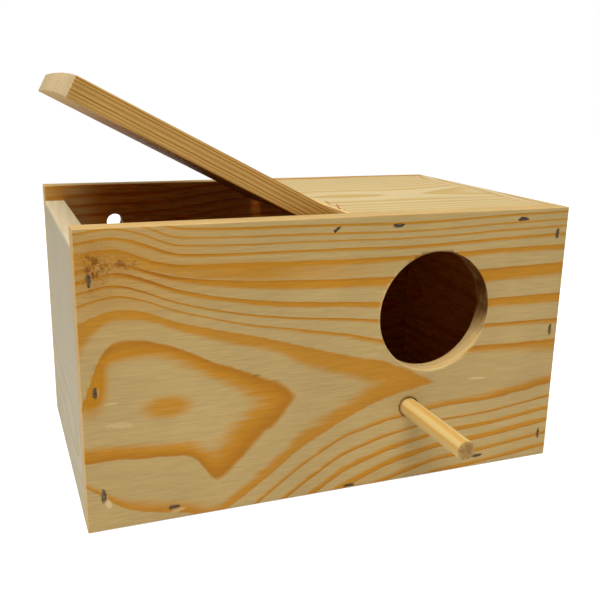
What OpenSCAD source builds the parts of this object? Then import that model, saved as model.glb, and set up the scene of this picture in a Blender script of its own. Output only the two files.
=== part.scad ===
// Horizontal nest box of planed pine boards: a stapled box with a round entrance,
// a dowel perch, a fixed roof board over one half and a lid that turns on two pins.
// Millimetres. X runs along the front, Y from front to back, Z up.
// The origin is the centre of the underside.

/* [Box] */
// Length of the front and back boards
box_w = 210; // [180:1:280]
// Outside depth from the front face to the back face
box_d = 132; // [110:1:180]
// Height of the front and back boards
box_h = 117; // [105:1:160]
// Thickness of every fixed board
board_t = 9; // [7:0.5:12]

/* [Entrance and perch] */
// Diameter of the entrance hole
entrance_d = 51.5; // [32:0.5:58]
// Entrance centre, in from the right-hand end of the front
entrance_from_right = 64; // [45:0.5:80]
// Entrance centre, down from the top of the front
entrance_from_top = 42; // [36:0.5:50]
// Diameter of the perch dowel
perch_d = 8; // [6:0.5:10]
// Length of perch that stands out of the front
perch_out = 45; // [25:1:60]
// Perch centre, in from the right-hand end of the front
perch_from_right = 74; // [50:0.5:90]
// Perch centre, above the underside
perch_height = 33.3; // [20:0.5:34]

/* [Lid] */
// Thickness of the lid board
lid_t = 8.6; // [6:0.2:10]
// How far the lid board is cupped across its width
lid_cup = 1; // [0.4:0.1:1.5]
// Finger grip: how far the closed lid stands past the left-hand side
lid_overhang = 9.9; // [4:0.1:16]
// How much further the back corner of the sawn end reaches than the front one
lid_end_skew = 1.4; // [0:0.1:2]
// Lid board beyond the hinge pins, on the roof side, measured at its underside
lid_heel = 6.6; // [5:0.1:9]
// Lean of the sawn heel, which is cut back at the top so that it clears the roof
heel_bevel = 26; // [0:1:30]
// Wood between the pin axis and the underside of the lid
lid_under_pin = 2.1; // [1.8:0.1:3]
// Angle at which the lid stands open
lid_open_angle = 27.3; // [0:0.1:60]

/* [Hinge pins] */
// Pin axis, in from the left-hand end of the front
pin_from_left = 99.7; // [85:0.1:110]
// Pin axis, down from the top of the front
pin_from_top = 4.9; // [4:0.1:6]
// Diameter of the pin shank
pin_d = 1.6; // [1.2:0.1:2]
// Overall length of a pin
pin_len = 30; // [24:1:36]
// Length of the pin's flat head across the shank
pin_head_w = 3.2; // [2.5:0.1:4]
// Thickness of the pin's head
pin_head_t = 1; // [0.8:0.1:1.5]
// Turn of the front pin's head about the pin
pin_head_turn = 40; // [0:1:90]

/* [Staples] */
// Width of a staple's crown
staple_crown = 5.8; // [5:0.1:8]
// Length of a staple's legs
staple_leg = 20; // [16:1:25]
// Width of the wire, across the crown
wire_w = 1.25; // [0.9:0.05:1.5]
// Thickness of the wire, along the crown
wire_t = 1; // [0.7:0.05:1.2]

/* [Hanging holes] */
// Diameter of a hanging hole
hang_d = 8; // [6:0.5:12]
// Distance between the two hanging holes
hang_spacing = 144; // [90:1:150]
// Hanging holes, down from the top of the back
hang_from_top = 18.8; // [16:0.1:25]

/* [Nest hollow] */
// Diameter of the dished hollow in the floor
hollow_d = 88; // [60:1:100]
// Depth of the hollow
hollow_depth = 4; // [2:0.5:5]
// Hollow centre, in from the left-hand end
hollow_from_left = 56; // [56:1:70]

/* [Clearances] */
// Gap between the lid and the front and back boards
lid_side_gap = 0.5; // [0.3:0.1:1.5]
// Gap under the closed lid, over the left-hand side board
lid_rest_gap = 0.15; // [0.1:0.05:0.5]
// Gap between the turning lid and the roof board
roof_gap = 0.5; // [0.4:0.1:1.5]
// Radial clearance of the pins in the lid
pin_turn_play = 0.05; // [0.02:0.01:0.1]
// Radial clearance of the pins in the front and back boards
pin_seat_play = 0.03; // [0.01:0.01:0.05]
// Radial clearance of the perch in its hole
perch_play = 0.05; // [0.02:0.01:0.1]
// Clearance round a staple in the wood
staple_play = 0.03; // [0.01:0.01:0.05]
// How deep the staples and pin heads are driven under the face
sink = 0.7; // [0.3:0.1:1.2]

/* [Hidden] */
$fn = 64;
// The big arcs of the cupped lid need many more steps than the round holes.
cup_steps = 1440;
cut_past = 1;

front_y = -box_d / 2;
inside_d = box_d - 2 * board_t;
right_x = box_w / 2;
side_mid_x = right_x - board_t / 2;
inside_x = right_x - board_t;
floor_mid_z = board_t / 2;
roof_mid_z = box_h - board_t / 2;

entrance_x = right_x - entrance_from_right;
entrance_z = box_h - entrance_from_top;
perch_x = right_x - perch_from_right;
// The drill lifted the grain round the perch hole on the upper left.
chip_r = perch_d / 2 + 0.8;
chip_depth = 0.8;
chip_shift = [-0.5, 0.6];
perch_tip_chamfer = 0.4;

pin_x = -right_x + pin_from_left;
pin_z = box_h - pin_from_top;
lid_w = inside_d - 2 * lid_side_gap;
lid_reach = pin_from_left + lid_overhang;
cup_r = (pow(lid_w / 2, 2) + pow(lid_cup, 2)) / (2 * lid_cup);
pin_in_lid = sink + pin_len - board_t - lid_side_gap;
pin_bore_spare = 0.5;

// The left-hand side board is cut low, so that the closed lid lies on it.
lid_seat_z = pin_z - lid_under_pin - lid_rest_gap;
// The roof board starts just outside the circle that the lid's heel sweeps: its
// lowest corner, or its top edge where the cupped board stands highest. It is cut
// to the next whole tenth of a millimetre.
crown_over_pin = lid_t + lid_cup - lid_under_pin;
heel_sweep_r = max(
    norm([lid_heel, lid_under_pin]),
    norm([lid_heel - (lid_t + lid_cup) * tan(heel_bevel), crown_over_pin])
);
roof_x = ceil(10 * (pin_x + heel_sweep_r + roof_gap)) / 10;

hollow_x = -right_x + hollow_from_left;
hollow_r = (pow(hollow_d / 2, 2) + pow(hollow_depth, 2)) / (2 * hollow_depth);

staple_tip = 1;
along = 0;
upright = 90;
// Each staple: x, z and the turn of its crown. They are driven by hand, so each
// one stands a little off the middle of the board behind it, and the last one has
// nearly missed the floor. The back is stapled in the same places, without that one.
staples = [
    [roof_x + 18.8, roof_mid_z + 0.1, along],
    [inside_x - 14.3, roof_mid_z + 0.1, along],
    [side_mid_x - 0.4, box_h - 11.6, upright],
    [side_mid_x + 0.7, box_h / 2 + 3.1, upright],
    [side_mid_x, 11, upright],
    [inside_x - 28.7, floor_mid_z + 0.3, along],
    [-inside_x + 24.2, floor_mid_z + 0.5, along],
    [-side_mid_x + 2.1, 14.3, upright],
    [-side_mid_x + 0.7, box_h / 2 - 2.4, upright],
    [-side_mid_x + 0.5, lid_seat_z - 11.4, upright],
    [3.7, 1.05, along]
];
back_staples = [for (i = [0:len(staples) - 2]) staples[i]];

// ---- staples ----

// One staple, crown along X, driven along +Y from a face at y = 0.
module staple_wire() {
    c = staple_crown / 2;
    back = sink + wire_t;
    tip = sink + staple_leg;
    translate([0, 0, -wire_w / 2])
        linear_extrude(wire_w)
            polygon([
                [-c, sink], [c, sink], [c, tip - staple_tip], [c - wire_t, tip],
                [c - wire_t, back], [-c + wire_t, back], [-c + wire_t, tip],
                [-c, tip - staple_tip]
            ]);
}

// The space a staple takes in the wood: a slot for the crown and one for each leg.
module staple_slot() {
    half = staple_crown / 2 + staple_play;
    leg_w = wire_t + 2 * staple_play;
    slot_w = wire_w + 2 * staple_play;
    translate([-half, -cut_past, -slot_w / 2])
        cube([2 * half, cut_past + sink + wire_t + staple_play, slot_w]);
    for (x = [-half, half - leg_w])
        translate([x, 0, -slot_w / 2])
            cube([leg_w, sink + staple_leg + staple_play, slot_w]);
}

// Puts its child at staple s on the front face.
module at_staple(s) {
    translate([s[0], front_y, s[1]]) rotate([0, s[2], 0]) children();
}

// Mirrors its children from the front to the back.
module on_back() {
    mirror([0, 1, 0]) children();
}

module staple_slots() {
    for (s = staples) at_staple(s) staple_slot();
    on_back() for (s = back_staples) at_staple(s) staple_slot();
}

module front_staple(i) {
    color("silver") at_staple(staples[i - 1]) staple_wire();
}

module back_staple(i) {
    color("silver") on_back() at_staple(back_staples[i - 1]) staple_wire();
}

// ---- hinge pins ----

// A rod along +Y from y0 to y1, on the pin axis.
module rod(r, y0, y1) {
    translate([0, y0, 0]) rotate([-90, 0, 0]) cylinder(r = r, h = y1 - y0);
}

// A pin's flat head, grown by play; it starts at y = from.
module pin_head(play, from, turn) {
    w = pin_head_w + 2 * play;
    t = pin_d + 2 * play;
    rotate([0, -turn, 0])
        translate([-w / 2, from, -t / 2])
            cube([w, sink + pin_head_t + play - from, t]);
}

// One pin, driven along +Y from a face at y = 0.
module pin(turn) {
    pin_head(0, sink, turn);
    rod(pin_d / 2, sink, sink + pin_len);
}

// The pin's hole through the front or back board.
module pin_hole(turn) {
    pin_head(pin_seat_play, -cut_past, turn);
    rod(pin_d / 2 + pin_seat_play, 0, board_t + cut_past);
}

module at_pin() {
    translate([pin_x, front_y, pin_z]) children();
}

module hinge_pin_front() {
    color("silver") at_pin() pin(pin_head_turn);
}

module hinge_pin_back() {
    color("silver") on_back() at_pin() pin(0);
}

// ---- boards ----

module front_board() {
    color("burlywood")
    difference() {
        translate([-right_x, front_y, 0]) cube([box_w, board_t, box_h]);
        translate([entrance_x, front_y, entrance_z])
            rod(entrance_d / 2, -cut_past, board_t + cut_past);
        translate([perch_x, front_y, perch_height])
            rod(perch_d / 2 + perch_play, -cut_past, board_t + cut_past);
        translate([perch_x + chip_shift[0], front_y, perch_height + chip_shift[1]])
            rod(chip_r, -cut_past, chip_depth);
        at_pin() pin_hole(pin_head_turn);
        staple_slots();
    }
}

module back_board() {
    color("burlywood")
    difference() {
        translate([-right_x, -front_y - board_t, 0]) cube([box_w, board_t, box_h]);
        for (x = [-hang_spacing / 2, hang_spacing / 2])
            translate([x, -front_y - board_t, box_h - hang_from_top])
                rod(hang_d / 2, -cut_past, board_t + cut_past);
        on_back() at_pin() pin_hole(0);
        staple_slots();
    }
}

// A side board between the front and back boards; side is -1 left, 1 right.
module side_board(side, height) {
    difference() {
        translate([side * side_mid_x - board_t / 2, -inside_d / 2, 0])
            cube([board_t, inside_d, height]);
        staple_slots();
    }
}

module left_side_board() {
    color("wheat") side_board(-1, lid_seat_z);
}

module right_side_board() {
    color("wheat") side_board(1, box_h);
}

module floor_board() {
    color("tan")
    difference() {
        translate([-inside_x, -inside_d / 2, 0]) cube([2 * inside_x, inside_d, board_t]);
        translate([hollow_x, 0, board_t - hollow_depth + hollow_r])
            sphere(r = hollow_r, $fn = cup_steps / 4);
        staple_slots();
    }
}

module roof_board() {
    color("wheat")
    difference() {
        translate([roof_x, -inside_d / 2, box_h - board_t])
            cube([inside_x - roof_x, inside_d, board_t]);
        staple_slots();
    }
}

module perch_dowel() {
    color("moccasin")
    translate([perch_x, front_y, perch_height]) {
        rod(perch_d / 2, -perch_out + perch_tip_chamfer, board_t);
        translate([0, -perch_out, 0])
            rotate([-90, 0, 0])
                cylinder(r1 = perch_d / 2 - perch_tip_chamfer, r2 = perch_d / 2,
                         h = perch_tip_chamfer);
    }
}

// ---- lid ----

// Everything under an arch across the lid, whose crown stands at height top.
module arch(top) {
    translate([0, 0, top - cup_r])
        rotate([0, 90, 0])
            cylinder(r = cup_r, h = 4 * lid_reach, center = true, $fn = cup_steps);
}

// The lid lying flat, with the pin axis along Y through the origin.
module lid_flat() {
    underside = lid_cup - lid_under_pin;
    tall = lid_t + lid_cup + 2 * cut_past;
    difference() {
        intersection() {
            translate([0, 0, -lid_under_pin - cut_past])
                linear_extrude(tall)
                    polygon([
                        [2 * lid_heel, -lid_w / 2], [2 * lid_heel, lid_w / 2],
                        [-lid_reach - lid_end_skew, lid_w / 2], [-lid_reach, -lid_w / 2]
                    ]);
            arch(underside + lid_t);
        }
        arch(underside);
        translate([lid_heel, 0, -lid_under_pin])
            rotate([0, -heel_bevel, 0])
                translate([0, -lid_w, -tall])
                    cube([2 * tall, 2 * lid_w, 3 * tall]);
        for (side = [0, 1])
            mirror([0, side, 0])
                rod(pin_d / 2 + pin_turn_play, -lid_w / 2 - cut_past,
                    -lid_w / 2 + pin_in_lid + pin_bore_spare);
    }
}

module hinged_lid() {
    color("peru")
    translate([pin_x, 0, pin_z]) rotate([0, lid_open_angle, 0]) lid_flat();
}

front_board();
back_board();
left_side_board();
right_side_board();
floor_board();
roof_board();
hinged_lid();
perch_dowel();
hinge_pin_front();
hinge_pin_back();
for (i = [1:len(staples)]) front_staple(i);
for (i = [1:len(back_staples)]) back_staple(i);
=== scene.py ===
# %% [markdown]
# # A pine nest box, board by board
# The object is a box of planed pine boards for small birds: a round entrance, a dowel
# perch, a fixed roof board over one half and a lid that turns on two pins. The packed
# model gives every board's place and size. This lesson makes the boards again as finer
# surfaces with eased edges, drilled mouths and growth rings, and keeps the staples and
# pins as they are with a better metal.

# %% Load the frame
import math

import bpy
import numpy as np
from mathutils import Matrix, Vector


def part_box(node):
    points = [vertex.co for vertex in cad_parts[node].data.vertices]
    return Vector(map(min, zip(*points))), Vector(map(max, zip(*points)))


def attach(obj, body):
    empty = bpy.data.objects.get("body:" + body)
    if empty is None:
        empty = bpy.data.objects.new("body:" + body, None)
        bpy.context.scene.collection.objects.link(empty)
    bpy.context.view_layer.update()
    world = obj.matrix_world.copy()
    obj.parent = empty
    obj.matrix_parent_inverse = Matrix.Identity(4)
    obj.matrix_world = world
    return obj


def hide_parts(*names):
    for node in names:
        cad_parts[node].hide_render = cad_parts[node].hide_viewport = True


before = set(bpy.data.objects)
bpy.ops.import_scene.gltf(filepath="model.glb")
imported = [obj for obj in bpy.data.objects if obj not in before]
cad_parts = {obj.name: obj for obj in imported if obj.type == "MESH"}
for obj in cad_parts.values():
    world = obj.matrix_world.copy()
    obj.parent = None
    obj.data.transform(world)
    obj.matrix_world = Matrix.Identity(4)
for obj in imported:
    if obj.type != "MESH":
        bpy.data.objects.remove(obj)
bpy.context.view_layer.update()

# %% [markdown]
# ## Camera first
# The box is seen from its left front corner, a little above the lid's hinge. A camera
# could be aimed with two angles, but this view has a small roll too, so the camera's own
# three directions are written down: right, up, and the way it looks. They are made square
# to each other again, because rounded numbers never quite are.

# %% The camera
MM = 0.001
CAMERA_PLACE = (-0.1310, -0.3464, 0.1663)
SENSOR_WIDTH = 36
LENS = 48.03
look = Vector((0.3547, 0.8981, -0.2599)).normalized()
right = Vector((0.9317, -0.3627, 0.0182))
right = (right - look * right.dot(look)).normalized()
up = right.cross(look)
camera = bpy.data.objects.new("camera", bpy.data.cameras.new("camera"))
camera.data.sensor_width = SENSOR_WIDTH
camera.data.lens = LENS
turn = Matrix((right, up, -look)).transposed()
camera.matrix_world = Matrix.Translation(CAMERA_PLACE) @ turn.to_4x4()
bpy.context.scene.collection.objects.link(camera)
bpy.context.scene.camera = camera
print("camera looks along", [round(x, 3) for x in look])

# %% [markdown]
# ## Light
# A white surround gives the even light of a light tent: soft from every side, with no hard
# shadow. It is seen as plain white behind the box, but it lights the box with only a part
# of that strength, so two backgrounds are mixed by whether the camera looks at them.

# %% The white surround
TENT_STRENGTH = 0.25
scene = bpy.context.scene
scene.view_settings.view_transform = "Standard"
surround = bpy.data.worlds.new("white surround")
surround.use_nodes = True
tree = surround.node_tree
tent = tree.nodes["Background"]
tent.inputs["Color"].default_value = (1, 1, 1, 1)
tent.inputs["Strength"].default_value = TENT_STRENGTH
bright = tree.nodes.new("ShaderNodeBackground")
bright.inputs["Color"].default_value = (1, 1, 1, 1)
seen = tree.nodes.new("ShaderNodeLightPath")
either = tree.nodes.new("ShaderNodeMixShader")
tree.links.new(seen.outputs["Is Camera Ray"], either.inputs[0])
tree.links.new(tent.outputs[0], either.inputs[1])
tree.links.new(bright.outputs[0], either.inputs[2])
tree.links.new(either.outputs[0], tree.nodes["World Output"].inputs["Surface"])
scene.world = surround
print("surround lights with strength", TENT_STRENGTH)

# %% [markdown]
# ## One soft lamp
# The surround alone makes everything flat. A small lamp would throw a hard shadow, so one
# large soft lamp above the left front gives the top its extra brightness. The inside of
# the box stays dark, because little of either light gets in, and painted shade on its
# inner faces darkens it further.


# %% The lamp
def soft_lamp(name, place, target, size, power):
    """A square area lamp of that size in metres at place, turned to face target."""
    lamp = bpy.data.objects.new(name, bpy.data.lights.new(name, "AREA"))
    lamp.data.size = size
    lamp.data.energy = power
    lamp.location = place
    aim = Vector(target) - Vector(place)
    lamp.rotation_euler = aim.to_track_quat("-Z", "Y").to_euler()
    scene.collection.objects.link(lamp)
    return lamp


top_lamp = soft_lamp(
    "top_lamp", place=(-0.45, -0.6, 2.1), target=(0, 0, 0.05), size=1.6, power=60
)
print("lamp is", top_lamp.data.size, "m across")

# %% [markdown]
# ## Grids, and the floor that the box stands on
# Most surfaces in this lesson are grids: rows of points with a square between every four.
# The first one is the plain floor. It lies just under the box, so that the two never share
# a plane.


# %% Grid helpers and the stage floor
def grid_quads(rows, columns):
    """The four corner numbers of every square on a grid of rows by columns points,
    in the order that turns the face towards (row direction) x (column direction)."""
    number = np.arange(rows * columns).reshape(rows, columns)
    corners = (number[:-1, :-1], number[1:, :-1], number[1:, 1:], number[:-1, 1:])
    return np.stack([c.ravel() for c in corners], axis=1)


def mesh_object(name, points, faces):
    """A mesh object at the origin from an array of points in metres and a list of the
    corner numbers of each face."""
    mesh = bpy.data.meshes.new(name)
    mesh.from_pydata(points.tolist(), [], faces)
    mesh.validate()
    piece = bpy.data.objects.new(name, mesh)
    scene.collection.objects.link(piece)
    return piece


FLOOR_HALF = 0.8
FLOOR_Z = -0.0003
FLOOR_ROWS = 7
span = np.linspace(-FLOOR_HALF, FLOOR_HALF, FLOOR_ROWS)
floor_points = np.stack(np.meshgrid(span, span, [FLOOR_Z], indexing="ij"), -1).reshape(-1, 3)
floor_quads = grid_quads(FLOOR_ROWS, FLOOR_ROWS)
stage_floor = mesh_object("stage_floor", floor_points, floor_quads.tolist())
print("floor at z =", floor_points[0, 2])

# %% [markdown]
# ## The shape of a planed board
# A board could be a cube with a Bevel modifier, but the growth rings will be stored on
# the board's points, so its faces need many small squares. So the board is six grids,
# one for each side, and every point is then pulled to the eased shape: the nearest point
# of the box that lies one edge radius further in, plus the radius along the way from
# there. On a face this changes nothing, and at an edge it gives a quarter round.


# %% A board as six eased grids
# Points that agree to this many decimals of a metre are one point.
JOIN_DECIMALS = 8


def stations(low, high, ease, step):
    """Places from low to high: near step apart in the middle, and at each end the
    three places that fall at 45, 22.5 and 0 degrees on the quarter round."""
    near = ease * np.array([0, 1 - math.tan(math.radians(22.5))])
    count = max(2, round((high - low - 2 * ease) / step) + 1)
    middle = np.linspace(low + ease, high - ease, count)
    return np.concatenate([low + near, middle, high - near[::-1]])


def block_surface(low, high, ease, steps):
    """Six grids of points on the box from low to high, joined where they meet. Each
    point p becomes inner + ease * (p - inner) / |p - inner|, where inner is p held
    inside the box that is smaller by ease on every side."""
    low = np.array(low, float)
    high = np.array(high, float)
    lines = [stations(low[i], high[i], ease, steps[i]) for i in range(3)]
    points = []
    quads = []
    count = 0
    for axis in range(3):
        first = (axis + 1) % 3
        second = (axis + 2) % 3
        for at in (low[axis], high[axis]):
            grid = np.empty((len(lines[first]), len(lines[second]), 3))
            grid[..., axis] = at
            grid[..., first] = lines[first][:, None]
            grid[..., second] = lines[second][None, :]
            squares = grid_quads(*grid.shape[:2]) + count
            outwards = squares if at == high[axis] else squares[:, ::-1]
            points.append(grid.reshape(-1, 3))
            quads.append(outwards)
            count += grid.shape[0] * grid.shape[1]
    points = np.concatenate(points)
    quads = np.concatenate(quads)
    _, which, joined = np.unique(
        np.round(points, JOIN_DECIMALS), axis=0, return_index=True, return_inverse=True
    )
    points = points[which]
    quads = joined.reshape(-1)[quads]
    inner = np.clip(points, low + ease, high - ease)
    away = points - inner
    away /= np.linalg.norm(away, axis=1, keepdims=True)
    return inner + ease * away, quads


def board(name, node, ease=0.4 * MM, step=1.6 * MM):
    """A board in the place and size of a CAD node."""
    low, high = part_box(node)
    points, quads = block_surface(low, high, ease, (step, step, step))
    return mesh_object(name, points, quads.tolist())


front = board("front_wood", "front_board", step=1.5 * MM)
back = board("back_wood", "back_board", step=1.8 * MM)
left_side = board("left_side_wood", "left_side_board", ease=0.2 * MM, step=2 * MM)
right_side = board("right_side_wood", "right_side_board", ease=0.2 * MM, step=2 * MM)
roof = board("roof_wood", "roof_board", ease=0.2 * MM, step=1.8 * MM)
base = board("floor_wood", "floor_board", step=2 * MM)
print("front has", len(front.data.vertices), "points")

# %% [markdown]
# ## Holes and their mouths
# Every hole here runs from front to back. The tool that cuts one is a closed surface of
# rings round a line: its radius can change with depth, which rounds the mouth, and with
# the angle, which frays it. The Boolean modifier takes the tool out of the board, and the
# result is made the board's own mesh.


# %% Tools for the holes
HOLE_POINTS = 96


def ring_solid(name, x, y, z, ends):
    """A closed solid from rows of points. Each row is one ring round it, squares join a
    ring to the next, and triangles close the first and last ring to the two ends."""
    rings, around = x.shape
    points = np.concatenate([np.stack([x, y, z], -1).reshape(-1, 3), ends])
    number = np.arange(rings * around).reshape(rings, around)
    ahead = np.roll(number, -1, axis=1)
    walls = np.stack([number[:-1], number[1:], ahead[1:], ahead[:-1]], -1).reshape(-1, 4)
    middle = np.full(around, rings * around)
    first = np.stack([number[0], ahead[0], middle], 1)
    last = np.stack([ahead[-1], number[-1], middle + 1], 1)
    return mesh_object(name, points, walls.tolist() + first.tolist() + last.tolist())


def drill(name, centre, depths, radii, shifts=None):
    """Rings round a line along Y at centre (x, z). Ring k stands at depths[k] and its
    points are centre + shift[k] + radius[k, angle] * (cos, sin); both ends are closed
    by a point in the middle."""
    radii = np.array(radii, float)
    depths = np.array(depths, float)
    if radii.ndim == 1:
        radii = np.repeat(radii[:, None], HOLE_POINTS, axis=1)
    shifts = np.zeros((len(depths), 2)) if shifts is None else np.array(shifts, float)
    around = radii.shape[1]
    angle = np.linspace(0, 2 * np.pi, around, endpoint=False)
    x = centre[0] + shifts[:, :1] + radii * np.cos(angle)
    z = centre[1] + shifts[:, 1:] + radii * np.sin(angle)
    y = np.repeat(depths[:, None], around, axis=1)
    ends = [[x[0].mean(), depths[0], z[0].mean()], [x[-1].mean(), depths[-1], z[-1].mean()]]
    return ring_solid(name, x, y, z, ends)


def eased_mouths(radius, ease, start, end, lean=0.0, past=1 * MM):
    """Depths and radii of a round hole from start to end with a quarter round at both
    mouths: radius + ease * (1 - sin a) at ease * (1 - cos a) under the face. Where the
    first mouth was sanded by hand it is wider towards 50 degrees below the right:
    ease is multiplied there by 1 + lean * cos(angle + 50)."""
    bend = np.radians([12, 30, 50, 70, 90])[:, None]
    angle = np.linspace(0, 2 * np.pi, HOLE_POINTS, endpoint=False)[None, :]
    depth = ease * (1 - np.cos(bend[:, 0]))
    sanded = ease * (1 + lean * np.cos(angle + math.radians(50)))
    first = radius + sanded * (1 - np.sin(bend))
    second = radius + ease * (1 - np.sin(bend)) + 0 * angle
    depths = np.concatenate([[start - past], start + depth, (end - depth)[::-1], [end + past]])
    radii = np.concatenate([first[:1], first, second[::-1], second[:1]])
    return depths, radii


def cut(piece, tools):
    """Takes each tool out of the piece and keeps the result as the piece's mesh."""
    for tool in tools:
        taking = piece.modifiers.new("cut", "BOOLEAN")
        taking.operation = "DIFFERENCE"
        taking.solver = "EXACT"
        taking.object = tool
    bpy.context.view_layer.update()
    seen = piece.evaluated_get(bpy.context.evaluated_depsgraph_get())
    result = bpy.data.meshes.new_from_object(seen)
    piece.modifiers.clear()
    before = piece.data
    piece.data = result
    bpy.data.meshes.remove(before)
    for tool in tools:
        bpy.data.objects.remove(tool)
    print(piece.name, "has", len(result.polygons), "faces after", len(tools), "cuts")

# %% [markdown]
# ### Where each hole goes
# The entrance and the two hanging holes are plain drilled holes with rounded mouths. The
# entrance's outer mouth was sanded by hand, more on the lower right. The perch hole takes
# its place and size from the dowel, and is not so neat: the drill lifted the grain on its
# upper left, so the mouth is wider there and its outline wavers.

# %% The three kinds of hole
front_low, front_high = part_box("front_board")
back_low, back_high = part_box("back_board")
front_y = front_low.y
inside_y = front_high.y
entrance = (41 * MM, 75 * MM)
entrance_r = 25.75 * MM
perch_low, perch_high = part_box("perch_dowel")
perch_centre = ((perch_low.x + perch_high.x) / 2, (perch_low.z + perch_high.z) / 2)
perch_r = (perch_high.z - perch_low.z) / 2
hanging = [(-72 * MM, 98.2 * MM), (72 * MM, 98.2 * MM)]
hanging_r = 4 * MM

entrance_mouths = eased_mouths(entrance_r, ease=0.7 * MM, start=front_y, end=inside_y, lean=0.9)
entrance_tool = drill("entrance_tool", entrance, *entrance_mouths)
angle = np.linspace(0, 2 * np.pi, HOLE_POINTS, endpoint=False)
fray = 4.75 * MM + 0.13 * MM * np.sin(3 * angle + 1) + 0.08 * MM * np.sin(11 * angle)
perch_play = 0.05 * MM
bore = np.full(HOLE_POINTS, perch_r + perch_play)
torn_shift = [-0.5 * MM, 0.6 * MM]
half_shift = [-0.25 * MM, 0.3 * MM]
no_shift = [0, 0]
perch_tool = drill(
    "perch_tool",
    perch_centre,
    [front_y - MM, front_y + 0.35 * MM, front_y + 0.8 * MM, front_y + 1.1 * MM, inside_y + MM],
    [fray, fray, 0.6 * fray + 0.4 * bore, bore, bore],
    [torn_shift, torn_shift, half_shift, no_shift, no_shift],
)
hanging_mouths = eased_mouths(hanging_r, ease=0.3 * MM, start=back_low.y, end=back_high.y)
hanging_tools = [drill("hanging_tool", at, *hanging_mouths) for at in hanging]
print("tools for", 2 + len(hanging_tools), "holes")

# %% [markdown]
# ## Where the staples and pins went in
# A staple gun leaves a slit with a torn edge. It ends up a little shorter than the crown,
# because the wood springs back over the crown's ends. A painted mark would stay flat, so
# each slit is cut with a shallow boat-shaped tool: an oval whose corners are squared by a
# power of the cosine and sine, with a ripple for the torn fibres, getting smaller with
# depth. Its place and its direction come from the staple's own box.


# %% Slits round the staples and pin heads
SLIT_POINTS = 40


def slit_tool(name, node, face_y, inwards, seed, half=None, turn=0.0):
    """Closed rings round a line along Y. A ring is half * |cos|^0.6 by half * |sin|^0.8
    times 1 + a ripple of the angle, turned by turn, and it narrows from the face to
    1.75 mm deep. Without a half given, the staple's long side gets the long half size and
    its thin side the thin one, and both change a little from staple to staple."""
    low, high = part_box(node)
    centre = ((low.x + high.x) / 2, (low.z + high.z) / 2)
    if half is None:
        sizes = np.array([high.x - low.x, high.z - low.z]) / 2
        long_half = (2.35 + 0.45 * math.sin(3 * seed)) * MM
        thin_half = (0.70 + 0.14 * math.sin(5 * seed)) * MM
        half = np.where(sizes > 1 * MM, long_half, thin_half)
    around = np.linspace(0, 2 * np.pi, SLIT_POINTS, endpoint=False)
    ripple = 1 + 0.15 * np.sin(3 * around + seed) + 0.12 * np.sin(8 * around + 2 * seed)
    flat_x = half[0] * np.sign(np.cos(around)) * np.abs(np.cos(around)) ** 0.6 * ripple
    flat_z = half[1] * np.sign(np.sin(around)) * np.abs(np.sin(around)) ** 0.8 * ripple
    wide_x = flat_x * math.cos(turn) - flat_z * math.sin(turn)
    wide_z = flat_x * math.sin(turn) + flat_z * math.cos(turn)
    shrink = np.array([1.10, 1.0, 0.93, 0.84])
    depth = np.array([-0.5, 0.25, 1.0, 1.75]) * MM * inwards + face_y
    if inwards < 0:
        shrink = shrink[::-1]
        depth = depth[::-1]
    x = centre[0] + shrink[:, None] * wide_x
    z = centre[1] + shrink[:, None] * wide_z
    y = np.repeat(depth[:, None], SLIT_POINTS, axis=1)
    ends = [[centre[0], depth[0], centre[1]], [centre[0], depth[-1], centre[1]]]
    return ring_solid(name, x, y, z, ends)


front_staples = sorted(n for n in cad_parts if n.startswith("front_staple"))
back_staples = sorted(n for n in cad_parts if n.startswith("back_staple"))
front_slits = [
    slit_tool("slit", n, front_y, 1, i) for i, n in enumerate(front_staples)
]
back_slits = [
    slit_tool("slit", n, back_high.y, -1, i + 3) for i, n in enumerate(back_staples)
]
pin_half = (1.62 * MM, 0.72 * MM)
pin_turn = math.radians(40)
front_slits.append(slit_tool("slit", "hinge_pin_front", front_y, 1, 2, pin_half, pin_turn))
back_slits.append(slit_tool("slit", "hinge_pin_back", back_high.y, -1, 5, pin_half))
cut(front, [entrance_tool, perch_tool] + front_slits)
cut(back, hanging_tools + back_slits)

# %% [markdown]
# ## The hollow in the floor
# The eggs are kept together by a shallow round hollow turned in the floor board under the
# lid. It is the cap of a large sphere, so the points of the board's top face that lie
# inside the circle only have to go down to the sphere.

# %% Sink the hollow
hollow_x = -49 * MM
hollow_r = 44 * MM
hollow_deep = 4 * MM
ball_r = (hollow_r**2 + hollow_deep**2) / (2 * hollow_deep)
base_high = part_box("floor_board")[1]
place = np.empty(len(base.data.vertices) * 3)
base.data.vertices.foreach_get("co", place)
place = place.reshape(-1, 3)
from_middle = np.hypot(place[:, 0] - hollow_x, place[:, 1])
ball_z = base_high.z - hollow_deep + ball_r - np.sqrt(ball_r**2 - np.minimum(from_middle, hollow_r) ** 2)
top_face = place[:, 2] > base_high.z - 0.01 * MM
place[:, 2] = np.where(top_face, np.minimum(place[:, 2], ball_z), place[:, 2])
base.data.vertices.foreach_set("co", place.ravel())
print("hollow is", round((base_high.z - place[top_face, 2].min()) / MM, 2), "mm deep")

# %% [markdown]
# ## The lid
# The lid board is cupped: planed wood that dried more on one face arches across its width.
# It is made as a flat block first, with the pin axis as its origin, and then every point
# is moved by one rule: up by the height of a large circle over the middle, and along by
# the two saw cuts, the skewed one at the grip and the leaning one at the heel. At the end
# it is turned about the pin, as the hinge would.

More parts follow.
